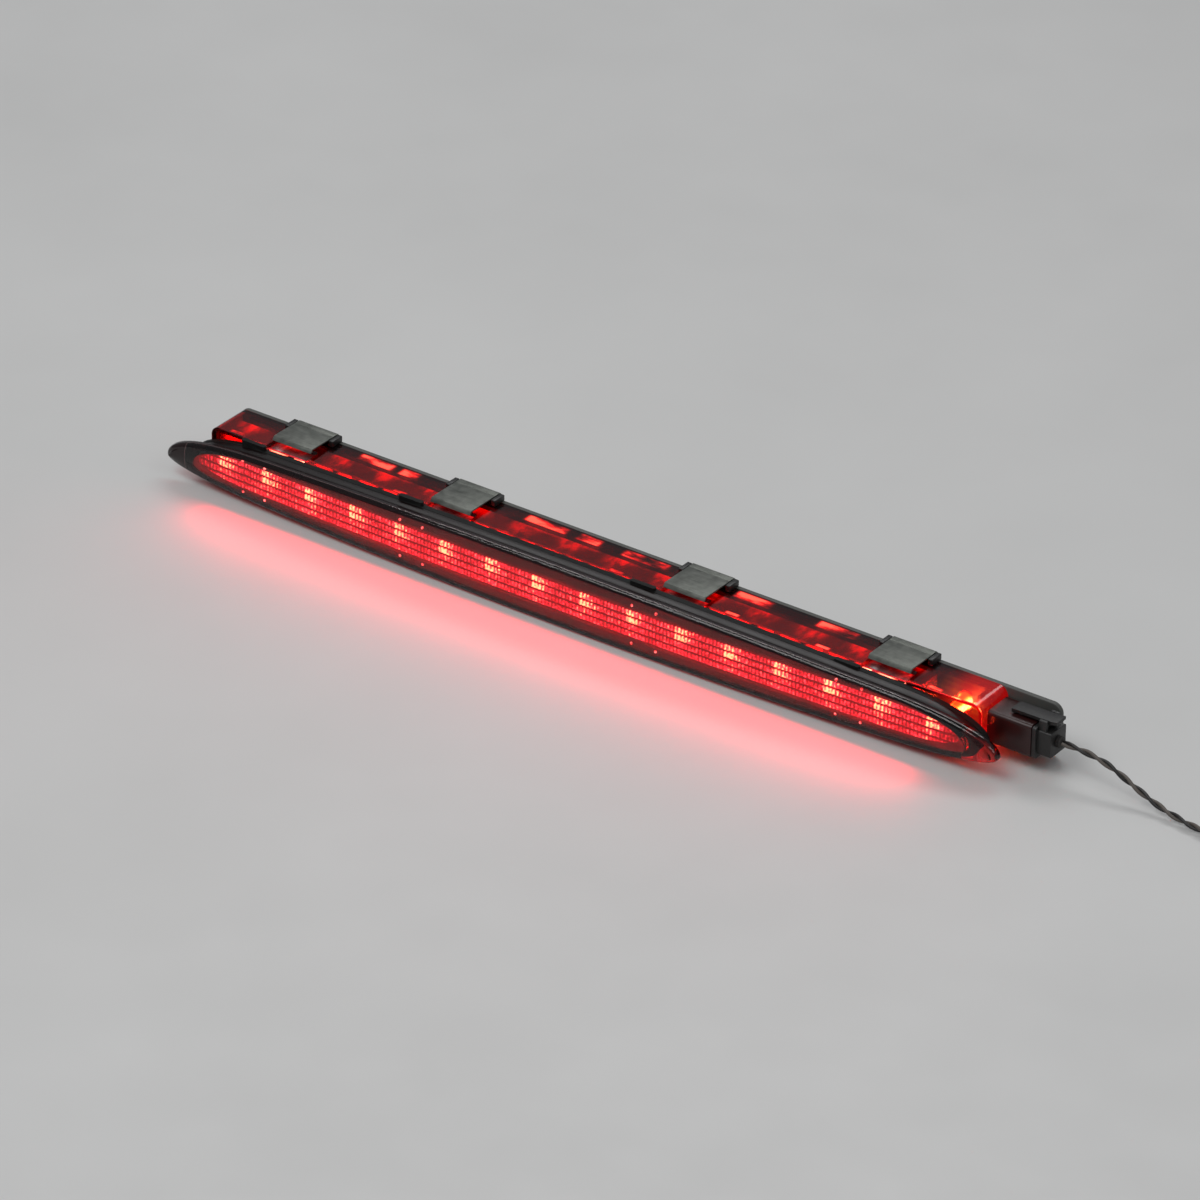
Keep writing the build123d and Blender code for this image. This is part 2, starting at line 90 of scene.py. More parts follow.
# ---- lit panel ----
WINDOW_END_Z = 11.5 * MM
WINDOW_DROP = 0.8 * MM
WINDOW_LIFT = 0.5 * MM
BAND_COUNT = 4
GROOVE = 0.5 * MM
GROOVE_DEPTH = 0.5 * MM
BAND_CROWN = 0.55 * MM
FLUTE = 1.6 * MM
FLUTE_DEPTH = 0.28 * MM
PANEL_FRONT = 2.8 * MM
PANEL_BACK = 5.6 * MM
STUD_RADIUS = 0.5 * MM
STUD_SIDES = 12
CLIP_COUNT = 4

# ---- lead ----
WIRE_RADIUS = 0.65 * MM
TWIST_PITCH = 17 * MM
COIL_X, COIL_DEPTH = 290 * MM, 32 * MM
COIL_RADIUS = 14.3 * MM
COIL_TURNS = 2.25
SEAL_SIDES = 32


def at_x(station):
    """Return the X of a distance from the lens centre."""
    return lens_x + station


def at_depth(depth):
    """Return the Y of a depth behind the middle of the lens."""
    return face_y + depth


def bow(station):
    """Return how far the bowed front lies behind its middle at a station."""
    return BOW_DEPTH * (station / BOW_REACH) ** 2


def smooth(value):
    """Ease a share from 0 to 1."""
    share = min(max(value, 0), 1)
    return share * share * (3 - 2 * share)


# ------------------------------------------------------------------ meshes


def piece(name, points, faces, finish, body="lamp", stands_for=(), sharp=35):
    """Make a mesh piece that rides on a body, in place of CAD nodes, and takes a finish."""
    mesh = bpy.data.meshes.new(name)
    mesh.from_pydata(points, [], faces)
    tidy = bmesh.new()
    tidy.from_mesh(mesh)
    bmesh.ops.remove_doubles(tidy, verts=tidy.verts, dist=0.002 * MM)
    bmesh.ops.dissolve_degenerate(tidy, edges=tidy.edges, dist=0.001 * MM)
    bmesh.ops.recalc_face_normals(tidy, faces=tidy.faces)
    tidy.to_mesh(mesh)
    tidy.free()
    mesh.shade_smooth()
    mesh.set_sharp_from_angle(angle=math.radians(sharp))
    mesh.materials.append(finish)
    made = bpy.data.objects.new(name, mesh)
    bpy.context.scene.collection.objects.link(made)
    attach(made, body)
    if stands_for:
        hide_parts(*stands_for)
    return made


def rounded(node, radius, finish, body="lamp", segments=3):
    """Make a piece from a CAD node's own shape, with its sharp edges rounded."""
    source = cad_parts[node].data
    shape = bmesh.new()
    corners = [shape.verts.new(vertex.co) for vertex in source.vertices]
    for polygon in source.polygons:
        shape.faces.new([corners[index] for index in polygon.vertices])
    bmesh.ops.remove_doubles(shape, verts=shape.verts, dist=0.002 * MM)
    bmesh.ops.dissolve_limit(shape, angle_limit=math.radians(1), verts=shape.verts, edges=shape.edges)
    edges = [edge for edge in shape.edges
             if len(edge.link_faces) == 2 and edge.calc_face_angle() > math.radians(40)]
    bmesh.ops.bevel(shape, geom=edges, offset=radius, offset_type="OFFSET", segments=segments,
                    profile=0.5, affect="EDGES", clamp_overlap=True)
    shape.verts.index_update()
    points = [vertex.co.copy() for vertex in shape.verts]
    faces = [[vertex.index for vertex in face.verts] for face in shape.faces]
    shape.free()
    return piece(f"{node}_shell", points, faces, finish, body, [node], sharp=30)


def dressed(node, finish):
    """Give a CAD node whose shape is right a better material."""
    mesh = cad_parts[node].data
    mesh.materials.clear()
    mesh.materials.append(finish)


def end_curve(side, slope, half, end_z, share):
    """Return (station, height) on a rounded end, from the shoulder at 0 to the tip at 1."""
    reach = (half - SHOULDER_X) * ROUNDNESS
    knots = (
        (SHOULDER_X, side),
        (SHOULDER_X + reach, side + slope * reach),
        (half, end_z + (side - end_z) * ROUNDNESS),
        (half, end_z),
    )
    rest = 1 - share
    weights = (rest ** 3, 3 * rest ** 2 * share, 3 * rest * share ** 2, share ** 3)
    return [sum(weight * knot[axis] for weight, knot in zip(weights, knots)) for axis in (0, 1)]


def eye_columns(half, top, side_top, bottom, side_bottom, end_z, spacing=4 * MM, end_steps=16):
    """Return the eye shape as (station, low, high) columns, from the left tip to the right tip."""
    right = []
    for step in range(1, end_steps + 1):
        share = step / end_steps
        station, high = end_curve(side_top, 2 * (side_top - top) / SHOULDER_X, half, end_z, share)
        _, low = end_curve(side_bottom, 2 * (side_bottom - bottom) / SHOULDER_X, half, end_z, share)
        right.append((station, low, high))
    count = math.ceil(2 * SHOULDER_X / spacing)
    middle = []
    for step in range(count + 1):
        station = SHOULDER_X * (2 * step / count - 1)
        share = (station / SHOULDER_X) ** 2
        middle.append((station, bottom + (side_bottom - bottom) * share, top + (side_top - top) * share))
    left = [(-station, low, high) for station, low, high in reversed(right)]
    return left + middle + right


def lens_columns(inset, tip_inset):
    """Return the lens's own outline, drawn in by inset and, at its tips, tip_inset."""
    return eye_columns(lens_half - tip_inset, lens_top - inset, SHOULDER_TOP - inset, inset,
                       SHOULDER_BOTTOM + inset, TIP_Z)


def window_columns(spacing):
    """Return the lit window's outline."""
    half = (panel_high.x - panel_low.x) / 2
    return eye_columns(half, window_top, window_top - WINDOW_DROP, window_bottom,
                       window_bottom + WINDOW_LIFT, WINDOW_END_Z, spacing)


class Shell:
    """Points and faces of a shape made of bowed rings, one behind another."""

    def __init__(self):
        self.points = []
        self.faces = []
        self.rings = []

    def ring(self, columns, depth):
        """Add the ring of an outline at a depth, and join it to the ring before."""
        uppers = [(station, high) for station, _, high in columns]
        lowers = [(station, low) for station, low, _ in reversed(columns[1:-1])]
        start = len(self.points)
        for station, height in uppers + lowers:
            self.points.append((at_x(station), at_depth(depth + bow(station)), height))
        indices = list(range(start, len(self.points)))
        if self.rings:
            self.bridge(self.rings[-1], indices)
        self.rings.append(indices)

    def bridge(self, first, second):
        """Join two rings of the same size with quads."""
        count = len(first)
        for number in range(count):
            after = (number + 1) % count
            self.faces.append((first[number], first[after], second[after], second[number]))

    def close(self):
        """Join the last ring to the first."""
        self.bridge(self.rings[-1], self.rings[0])

    def fill(self, ring, columns, depth, crown=0.0, rows=8):
        """Close a ring with a face that bulges forwards by crown in its middle."""
        count = len(columns)
        tops = ring[:count]
        bottoms = [ring[0]] + [ring[-number] for number in range(1, count - 1)] + [ring[count - 1]]
        grid = []
        for number, (station, low, high) in enumerate(columns):
            line = [bottoms[number]]
            for row in range(1, rows):
                share = row / rows
                bulge = crown * (1 - (2 * share - 1) ** 2)
                if number in (0, count - 1):
                    line.append(tops[number])
                    continue
                line.append(len(self.points))
                self.points.append((at_x(station), at_depth(depth + bow(station) - bulge),
                                    low + (high - low) * share))
            line.append(tops[number])
            grid.append(line)
        for here, there in zip(grid, grid[1:]):
            for row in range(rows):
                corners = (here[row], there[row], there[row + 1], here[row + 1])
                unique = list(dict.fromkeys(corners))
                if len(unique) > 2:
                    self.faces.append(unique)


def ring_faces(rings, sides, start=0):
    """Return the quads between round rings of points, and the cap on each end."""
    faces = []
    for ring in range(rings - 1):
        here, there = start + ring * sides, start + (ring + 1) * sides
        for turn in range(sides):
            after = (turn + 1) % sides
            faces.append((here + turn, here + after, there + after, there + turn))
    last = start + (rings - 1) * sides
    faces.append([start + turn for turn in range(sides)])
    faces.append([last + turn for turn in range(sides)])
    return faces


def tube(points, radius, sides=10):
    """Return points and faces of a closed round tube along a line of points."""
    spots = []
    side = Vector((0, 0, 1))
    for number, point in enumerate(points):
        before = points[max(number - 1, 0)]
        after = points[min(number + 1, len(points) - 1)]
        along = (after - before).normalized()
        side = (side - along * side.dot(along)).normalized()
        across = along.cross(side)
        for turn in range(sides):
            angle = 2 * math.pi * turn / sides
            spots.append(point + (side * math.cos(angle) + across * math.sin(angle)) * radius)
    return spots, ring_faces(len(points), sides)


# --------------------------------------------------------------- materials


class Finish:
    """A procedural material: a Principled shader and short calls for the nodes that feed it."""

    def __init__(self, name, **settings):
        self.material = bpy.data.materials.new(name)
        self.material.use_nodes = True
        self.tree = self.material.node_tree
        self.shader = self.tree.nodes["Principled BSDF"]
        self.output = self.tree.nodes["Material Output"]
        self.place = self.tree.nodes.new("ShaderNodeTexCoord").outputs["Object"]
        axes = self.tree.nodes.new("ShaderNodeSeparateXYZ")
        self.tree.links.new(self.place, axes.inputs[0])
        self.x, self.y, self.z = axes.outputs
        for socket, value in settings.items():
            self.feed(self.shader.inputs[socket.replace("_", " ")], value)

    def feed(self, socket, value):
        """Link a socket or set its value."""
        if isinstance(value, bpy.types.NodeSocket):
            self.tree.links.new(value, socket)
        else:
            socket.default_value = value

    def maths(self, operation, first, second=0.0):
        """Return the result of a Math node."""
        node = self.tree.nodes.new("ShaderNodeMath")
        node.operation = operation
        self.feed(node.inputs[0], first)
        self.feed(node.inputs[1], second)
        return node.outputs[0]

    def times(self, first, second):
        """Return a product."""
        return self.maths("MULTIPLY", first, second)

    def noise(self, size, detail=3.0, stretch=(1, 1, 1), rough=0.55):
        """Return noise from 0 to 1 whose features are about size metres across."""
        scaled = self.tree.nodes.new("ShaderNodeVectorMath")
        scaled.operation = "MULTIPLY"
        self.feed(scaled.inputs[0], self.place)
        scaled.inputs[1].default_value = [1 / (size * factor) for factor in stretch]
        node = self.tree.nodes.new("ShaderNodeTexNoise")
        self.feed(node.inputs["Vector"], scaled.outputs[0])
        node.inputs["Scale"].default_value = 1.0
        node.inputs["Detail"].default_value = detail
        node.inputs["Roughness"].default_value = rough
        return node.outputs["Fac"]

    def ease(self, value, start, end, low=0.0, high=1.0):
        """Return a value eased from low at start to high at end."""
        node = self.tree.nodes.new("ShaderNodeMapRange")
        node.interpolation_type = "SMOOTHSTEP"
        self.feed(node.inputs["Value"], value)
        for name, number in (("From Min", start), ("From Max", end), ("To Min", low), ("To Max", high)):
            node.inputs[name].default_value = number
        return node.outputs["Result"]

    def ramp(self, value, *stops):
        """Return the colour that a value has between (position, colour) stops."""
        node = self.tree.nodes.new("ShaderNodeValToRGB")
        self.feed(node.inputs["Fac"], value)
        elements = node.color_ramp.elements
        while len(elements) < len(stops):
            elements.new(1.0)
        for element, (position, colour) in zip(elements, stops):
            element.position = position
            element.color = (*colour, 1)
        return node.outputs["Color"]

    def mix(self, share, first, second):
        """Return a mix of two colours."""
        node = self.tree.nodes.new("ShaderNodeMix")
        node.data_type = "RGBA"
        self.feed(node.inputs["Factor"], share)
        self.feed(node.inputs[6], first if isinstance(first, bpy.types.NodeSocket) else (*first, 1))
        self.feed(node.inputs[7], second if isinstance(second, bpy.types.NodeSocket) else (*second, 1))
        return node.outputs[2]

    def colour(self, value):
        """Set or link the base colour."""
        self.feed(self.shader.inputs["Base Color"], value)

    def rough(self, value):
        """Set or link the roughness."""
        self.feed(self.shader.inputs["Roughness"], value)

    def bump(self, height, distance, strength=1.0):
        """Raise the surface by a height pattern, distance metres from 0 to 1."""
        node = self.tree.nodes.new("ShaderNodeBump")
        node.inputs["Strength"].default_value = strength
        node.inputs["Distance"].default_value = distance
        self.feed(node.inputs["Height"], height)
        self.feed(self.shader.inputs["Normal"], node.outputs["Normal"])

    def behind_face(self):
        """Return how far a point lies behind the bowed front of the lens."""
        share = self.maths("DIVIDE", self.maths("SUBTRACT", self.x, lens_x), BOW_REACH)
        bowed = self.times(self.times(share, share), BOW_DEPTH)
        return self.maths("SUBTRACT", self.maths("SUBTRACT", self.y, face_y), bowed)

    def glow(self, colour, strength):
        """Make the surface give out light."""
        self.feed(self.shader.inputs["Emission Color"], colour)
        self.feed(self.shader.inputs["Emission Strength"], strength)

    def led_phase(self, shift=0.0):
        """Return the distance along the lamp from shift before the first diode, counted in diodes."""
        return self.maths("DIVIDE", self.maths("SUBTRACT", self.x, first_led - shift), led_pitch)

    def led_distance(self):
        """Return the distance from the nearest diode, 0 at it and 0.5 half-way to the next."""
        return self.maths("PINGPONG", self.led_phase(), 0.5)

    def patch(self, axis, middle, half_width, soft):
        """Return 1 within half_width of middle along an axis, falling to 0 over soft."""
        away = self.maths("ABSOLUTE", self.maths("SUBTRACT", axis, middle))
        return self.ease(away, half_width, half_width + soft, 1.0, 0.0)

    def deepens(self, colour, density):
        """Darken light by how far it runs inside the plastic."""
        depth = self.tree.nodes.new("ShaderNodeVolumeAbsorption")
        depth.inputs["Color"].default_value = (*colour, 1)
        depth.inputs["Density"].default_value = density
        self.tree.links.new(depth.outputs[0], self.output.inputs["Volume"])

    def lets_light_through(self, tint):
        """Let light from the lamp and the studio pass straight through tinted plastic."""
        clear = self.tree.nodes.new("ShaderNodeBsdfTransparent")
        clear.inputs["Color"].default_value = (*tint, 1)
        path = self.tree.nodes.new("ShaderNodeLightPath")
        either = self.tree.nodes.new("ShaderNodeMixShader")
        self.feed(either.inputs["Fac"], path.outputs["Is Shadow Ray"])
        self.tree.links.new(self.shader.outputs[0], either.inputs[1])
        self.tree.links.new(clear.outputs[0], either.inputs[2])
        self.tree.links.new(either.outputs[0], self.output.inputs["Surface"])


def clear_red(name, tint, smear):
    """Start a polished clear red plastic: its smears, its ripple, and the light that it lets through."""
    finish = Finish(name, Transmission_Weight=1.0, IOR=1.49)
    finish.smears = finish.ramp(finish.noise(14 * MM, 5, (2, 1, 1)), (0.35, [smear * 0.35] * 3),
                                (0.75, [smear] * 3))
    finish.rough(finish.smears)
    finish.bump(finish.noise(11 * MM, 2, (4, 1, 1)), 0.02 * MM, 0.25)
    finish.lets_light_through(tint)
    return finish


def lens_finish():
    """Clear red lens, blacked out at its left end and round its edge as far as the clear right nose."""
    finish = clear_red("lens_red", (0.9, 0.40, 0.40), 0.05)
    finish.deepens((0.82, 0.40, 0.40), 760)
    edge = finish.ease(finish.behind_face(), LENS_SKIN + 0.1 * MM, LENS_SKIN + 0.3 * MM)
    before_nose = finish.ease(finish.x, lens_x + RIGHT_NOSE, lens_x + RIGHT_NOSE + 0.3 * MM, 1.0, 0.0)
    left_end = finish.ease(finish.x, lens_x - LEFT_NOSE - 0.3 * MM, lens_x - LEFT_NOSE, 1.0, 0.0)
    black = finish.maths("MAXIMUM", finish.times(edge, before_nose), left_end)
    tinted = finish.ramp(finish.noise(9 * MM, 4, (3, 1, 1)), (0.3, (0.90, 0.54, 0.54)),
                         (0.7, (0.97, 0.60, 0.60)))
    finish.colour(finish.mix(black, tinted, (0.010, 0.002, 0.002)))
    finish.rough(finish.maths("ADD", finish.smears, finish.times(finish.times(black, edge), 0.24)))
    finish.feed(finish.shader.inputs["Transmission Weight"], finish.maths("SUBTRACT", 1.0, black))
    return finish.material


def housing_finish():
    """Clear red box plastic, with the light leaking through it painted on as bright glowing patches and a
    faint glow at its right end.
    """
    finish = clear_red("housing_red", (0.62, 0.02, 0.02), 0.16)
    tinted = finish.ramp(finish.noise(9 * MM, 4, (3, 1, 1)), (0.3, (0.43, 0.005, 0.007)),
                         (0.7, (0.50, 0.006, 0.008)))
    end = finish.ease(finish.x, last_led - 11 * MM, last_led - 5 * MM)
    finish.colour(finish.mix(end, tinted, (0.82, 0.075, 0.085)))
    rear = finish.patch(finish.y, at_depth(29.8 * MM), 1.7 * MM, 1.2 * MM)
    front = finish.patch(finish.y, at_depth(16.6 * MM), 0.5 * MM, 0.7 * MM)
    top = finish.ease(finish.z, housing_top - 1.2 * MM, housing_top - 0.4 * MM)
    # Between and beside the clips, the leaking light is painted on as glow: wide patches near the back
    # and short ones in front.
    painted_leak_patches = 0.0
    for middle, half_width in ((-108, 7), (-26, 8.5), (20, 9), (70, 7), (107.5, 7.5), (-92, 3), (-6, 4)):
        spot = finish.patch(finish.x, at_x(middle * MM), half_width * MM, 2.2 * MM)
        painted_leak_patches = finish.maths("ADD", painted_leak_patches, finish.times(spot, rear))
    for middle in (-166, -86.4, -37.5, 16.0, 69.2, 110, 160):
        spot = finish.patch(finish.x, at_x(middle * MM), 2.2 * MM, 1.6 * MM)
        painted_leak_patches = finish.maths("ADD", painted_leak_patches, finish.times(spot, front))
    broken = finish.ease(finish.noise(7 * MM, 4, (2.5, 1, 1)), 0.34, 0.6)
    # The end chamber round the last diode gets a faint painted glow.
    painted_chamber_glow = finish.times(finish.ease(finish.x, last_led - 9 * MM, last_led + 4 * MM), 0.22)
    bright = finish.maths("ADD", finish.times(finish.times(painted_leak_patches, top), broken), painted_chamber_glow)
    finish.glow(finish.ramp(bright, (0.0, (0.10, 0.0, 0.0)), (0.6, (1.0, 0.01, 0.01)),
                            (1.0, (1.0, 0.10, 0.06))), finish.times(bright, 1.6))
    return finish.material


def panel_finish():
    """The ribbed panel: bright bands, a sparkle on each flute, and a yellow streak for each diode."""
    finish = Finish("panel_glow", Roughness=0.22)
    height = finish.maths("DIVIDE", finish.maths("SUBTRACT", finish.z, window_bottom),
                          window_top - window_bottom)
    band_place = finish.times(height, float(BAND_COUNT))
    seam = finish.ease(finish.maths("PINGPONG", band_place, 0.5), 0.06, 0.22, 0.14, 1.0)
    flute = finish.maths("SINE", finish.times(finish.x, 2 * math.pi / FLUTE))
    sparkle = finish.ease(finish.noise(0.9 * MM, 2, (1, 1, 1.4)), 0.42, 0.72, 0.62, 1.35)
    ribs = finish.times(finish.ease(flute, -1, 1, 0.60, 1.0), sparkle)
    phase = finish.maths("FRACT", finish.led_phase(2 * MM))
    tail = finish.ease(phase, 0.02, 0.66, 1.0, 0.0)
    head = finish.ease(phase, 0.0, 0.03)
    spot = finish.times(finish.times(tail, tail), head)
    band_share = finish.ramp(height, (0.0, (0.05,) * 3), (0.50, (0.10,) * 3), (0.53, (1.0,) * 3),
                             (0.74, (1.0,) * 3), (0.77, (0.75,) * 3), (1.0, (0.6,) * 3))
    broad = finish.ease(finish.led_distance(), 0.0, 0.5, 0.60, 0.50)
    front = finish.ease(finish.behind_face(), PANEL_FRONT + 1.6 * MM, PANEL_FRONT + 2.2 * MM, 1.0, 0.0)
    hot = finish.times(finish.times(finish.times(spot, band_share), front), 0.95)
    level = finish.times(finish.times(finish.maths("ADD", broad, hot), ribs), seam)
    ends = finish.ease(finish.maths("ABSOLUTE", finish.maths("SUBTRACT", finish.x, lens_x)),
                       162 * MM, 178 * MM, 1.0, 0.55)
    level = finish.times(finish.times(level, ends), finish.ease(front, 0.0, 1.0, 0.7, 1.0))
    finish.colour(finish.ramp(level, (0.0, (0.10, 0.0, 0.002)), (0.6, (0.7, 0.02, 0.04))))
    finish.glow(finish.ramp(level, (0.0, (0.34, 0.0, 0.006)), (0.25, (0.70, 0.01, 0.03)),
                            (0.5, (1.0, 0.10, 0.18)), (0.66, (1.0, 0.24, 0.24)),
                            (0.78, (1.0, 0.66, 0.22)), (1.0, (1.0, 0.92, 0.42))),
                finish.ease(level, 0.1, 1.0, 0.7, 6.0))
    return finish.material


def mask_finish():
    """Dark plastic round the window, with the stray light near it painted in as red colour and a faint
    glow.
    """
    finish = Finish("mask_dark", Roughness=0.35)
    fall = finish.times(finish.maths("POWER", finish.maths("DIVIDE", finish.maths(
        "SUBTRACT", finish.x, lens_x), SHOULDER_X), 2.0), WINDOW_DROP)
    above = finish.maths("SUBTRACT", finish.maths("ADD", finish.z, fall), window_top)
    below = finish.maths("SUBTRACT", window_bottom, finish.z)
    away = finish.maths("MAXIMUM", above, below)
    near = finish.ease(away, 0.0, 1.7 * MM, 1.0, 0.0)
    streaks = finish.ease(finish.noise(5 * MM, 4, (4, 1, 1)), 0.35, 0.75, 0.25, 1.0)
    stray = finish.times(near, streaks)
    # The stray light is painted into the colour and a faint glow.
    finish.colour(finish.ramp(stray, (0.0, (0.004, 0.002, 0.002)), (1.0, (0.16, 0.003, 0.004))))
    finish.glow((1.0, 0.015, 0.02, 1), finish.times(stray, 0.35))
    return finish.material


def stud_finish():
    """Stud heads with the lamp's light on them painted in as an uneven glow."""
    finish = Finish("stud_glow", Roughness=0.2)
    spark = finish.ease(finish.noise(0.8 * MM, 2), 0.35, 0.65)
    finish.colour(finish.ramp(spark, (0.0, (0.5, 0.02, 0.03)), (1.0, (1.0, 0.3, 0.3))))
    finish.glow(finish.ramp(spark, (0.0, (0.9, 0.02, 0.04)), (1.0, (1.0, 0.45, 0.4))),
                finish.ease(spark, 0.0, 1.0, 1.2, 5.0))
    return finish.material


def gloss_black():
    """Polished black rim with a trace of red in it, fine swirls and a little dust."""
    finish = Finish("rim_gloss", Specular_IOR_Level=0.28)
    dust = finish.ease(finish.noise(1.1 * MM, 6), 0.62, 0.78)
    finish.colour(finish.mix(dust, (0.006, 0.003, 0.003), (0.022, 0.016, 0.015)))
    finish.rough(finish.ramp(finish.noise(6 * MM, 5, (3, 1, 1)), (0.3, (0.26,) * 3), (0.8, (0.38,) * 3)))
    return finish.material


def grained(name, dark, light, roughness, grain, height, **settings):
    """Moulded plastic or rubber: a fine grain in its surface and slow changes in its colour."""
    finish = Finish(name, **settings)
    cloud = finish.noise(12 * MM, 5, (2, 1, 1))
    finish.colour(finish.ramp(cloud, (0.3, dark), (0.72, light)))
    fine = finish.noise(grain, 4)
    finish.rough(finish.ramp(fine, (0.3, (roughness - 0.08,) * 3), (0.7, (roughness + 0.08,) * 3)))
    finish.bump(fine, height, 0.7)
    return finish.material


def spring_steel():
    """Grey-green phosphated sheet: mottled, with fine rolling lines along its width."""
    finish = Finish("spring_steel", Metallic=0.75)
    rolled = finish.noise(0.5 * MM, 4, (14, 1, 1))
    mottle = finish.noise(3.2 * MM, 6)
    base = finish.ramp(mottle, (0.32, (0.085, 0.093, 0.080)), (0.55, (0.150, 0.160, 0.142)),
                       (0.78, (0.215, 0.222, 0.200)))
    bright = finish.ramp(rolled, (0.35, (0.10, 0.108, 0.095)), (0.8, (0.30, 0.305, 0.285)))
    finish.colour(finish.mix(0.35, base, bright))
    finish.rough(finish.ramp(finish.maths("ADD", finish.times(rolled, 0.5), finish.times(mottle, 0.5)),
                             (0.35, (0.36,) * 3), (0.7, (0.56,) * 3)))
    finish.bump(rolled, 0.02 * MM, 0.6)
    return finish.material


def tray_finish():
    """Silvered funnels, with the diodes' red light on them painted in as glow, brightest round each
    diode.
    """
    finish = Finish("tray_mirror", Metallic=0.85)
    # The painted glow is strongest round each diode and towards the back, broken up by the facets.
    near = finish.ease(finish.led_distance(), 0.0, 0.42, 1.0, 0.12)
    back = finish.ease(finish.y, at_depth(18 * MM), at_depth(27 * MM), 0.30, 1.0)
    facets = finish.ease(finish.noise(3.5 * MM, 3, (1, 2, 1)), 0.35, 0.65, 0.35, 1.0)
    level = finish.times(finish.times(near, back), facets)
    finish.colour(finish.ramp(facets, (0.0, (0.55, 0.30, 0.30)), (1.0, (0.82, 0.70, 0.70))))
    finish.rough(finish.ramp(finish.noise(2 * MM, 4), (0.3, (0.10,) * 3), (0.7, (0.22,) * 3)))
    finish.glow(finish.ramp(level, (0.0, (0.25, 0.0, 0.0)), (0.5, (1.0, 0.01, 0.01)),
                            (1.0, (1.0, 0.16, 0.05))), finish.ease(level, 0.0, 1.0, 0.10, 2.2))
    return finish.material


def led_finish():
    """Lit diodes: hot red, and a yellow-white core in the one that the clear end shows."""
    finish = Finish("led_lit", Roughness=0.12)
    ripple = finish.noise(1.2 * MM, 2)
    core = finish.times(finish.patch(finish.z, led_z, 0.9 * MM, 1.6 * MM),
                        finish.ease(ripple, 0.25, 0.7, 0.55, 1.0))
    in_end = finish.ease(finish.x, last_led - 6 * MM, last_led - 5 * MM)
    finish.colour(finish.ramp(core, (0.0, (0.9, 0.12, 0.02)), (1.0, (1.0, 0.7, 0.15))))
    yellow = finish.ramp(core, (0.0, (1.0, 0.10, 0.01)), (0.45, (1.0, 0.45, 0.03)),
                         (1.0, (1.0, 0.85, 0.30)))
    finish.glow(finish.mix(in_end, (1.0, 0.20, 0.12), yellow),
                finish.times(finish.ease(core, 0.0, 1.0, 2.0, 9.0),
                             finish.ease(in_end, 0.0, 1.0, 1.0, 7.0)))
    return finish.material


def board_finish():
    """Circuit board: dark solder mask with lighter traces under it."""
    finish = Finish("board_mask", Roughness=0.4)
    rows = finish.ease(finish.maths("PINGPONG", finish.times(finish.z, 1 / (2.6 * MM)), 0.5), 0.30, 0.34)
    tracks = finish.times(rows, finish.ease(finish.noise(6 * MM, 1, (5, 1, 1)), 0.42, 0.46))
    finish.colour(finish.mix(tracks, (0.010, 0.060, 0.026), (0.030, 0.135, 0.055)))
    finish.bump(tracks, 0.035 * MM, 0.8)
    return finish.material


def bright_metal(name, dark, light, roughness):
    """Plated or drawn metal with fine lines and slight tarnish."""
    finish = Finish(name, Metallic=1.0)
    finish.colour(finish.ramp(finish.noise(1.4 * MM, 5), (0.3, dark), (0.7, light)))
    lines = finish.noise(0.2 * MM, 3, (12, 1, 1))
    finish.rough(finish.ramp(lines, (0.3, (roughness - 0.08,) * 3), (0.7, (roughness + 0.1,) * 3)))
    return finish.material


def foam_finish():
    """Dark open-celled foam."""
    finish = Finish("foam_pad", Roughness=0.95)
    cells = finish.noise(0.45 * MM, 2)
    finish.colour(finish.ramp(cells, (0.35, (0.010, 0.010, 0.011)), (0.7, (0.055, 0.055, 0.058))))
    finish.bump(cells, 0.18 * MM)
    return finish.material


def floor_finish():
    """Pale studio floor with a barely visible unevenness."""
    finish = Finish("pale_floor")
    cloud = finish.noise(180 * MM, 4)
    finish.colour(finish.ramp(cloud, (0.3, (0.60, 0.60, 0.59)), (0.7, (0.64, 0.64, 0.63))))
    finish.rough(finish.ramp(finish.noise(40 * MM, 4), (0.3, (0.40,) * 3), (0.7, (0.50,) * 3)))
    return finish.material


lens_red = lens_finish()
housing_red = housing_finish()
rim_black = gloss_black()
gasket_black = grained("gasket_rubber", (0.004, 0.004, 0.004), (0.010, 0.011, 0.010), 0.60,
                       0.35 * MM, 0.05 * MM, Specular_IOR_Level=0.22)
cover_grey = grained("cover_grey", (0.060, 0.062, 0.056), (0.098, 0.100, 0.092), 0.55,
                     0.40 * MM, 0.045 * MM)
socket_maroon = grained("socket_maroon", (0.018, 0.004, 0.004), (0.034, 0.007, 0.006), 0.34,
                        0.30 * MM, 0.02 * MM)
plug_black = grained("plug_black", (0.008, 0.008, 0.008), (0.020, 0.019, 0.018), 0.46,
                     0.30 * MM, 0.03 * MM)
seal_black = grained("seal_rubber", (0.016, 0.014, 0.013), (0.034, 0.030, 0.028), 0.66,
                     0.25 * MM, 0.03 * MM)
catch_black = grained("catch_black", (0.006, 0.006, 0.006), (0.014, 0.014, 0.013), 0.40,
                      0.30 * MM, 0.02 * MM)
tie_black = grained("tie_black", (0.012, 0.012, 0.013), (0.026, 0.026, 0.028), 0.48,
                    0.22 * MM, 0.02 * MM)
far_white = grained("far_white", (0.60, 0.58, 0.52), (0.72, 0.70, 0.64), 0.42,
                    0.30 * MM, 0.02 * MM, Subsurface_Weight=0.08)
wire_dark = grained("wire_dark", (0.010, 0.009, 0.009), (0.022, 0.019, 0.018), 0.42,
                    0.30 * MM, 0.012 * MM)
wire_light = grained("wire_light", (0.085, 0.072, 0.062), (0.13, 0.11, 0.095), 0.44,
                     0.30 * MM, 0.012 * MM)
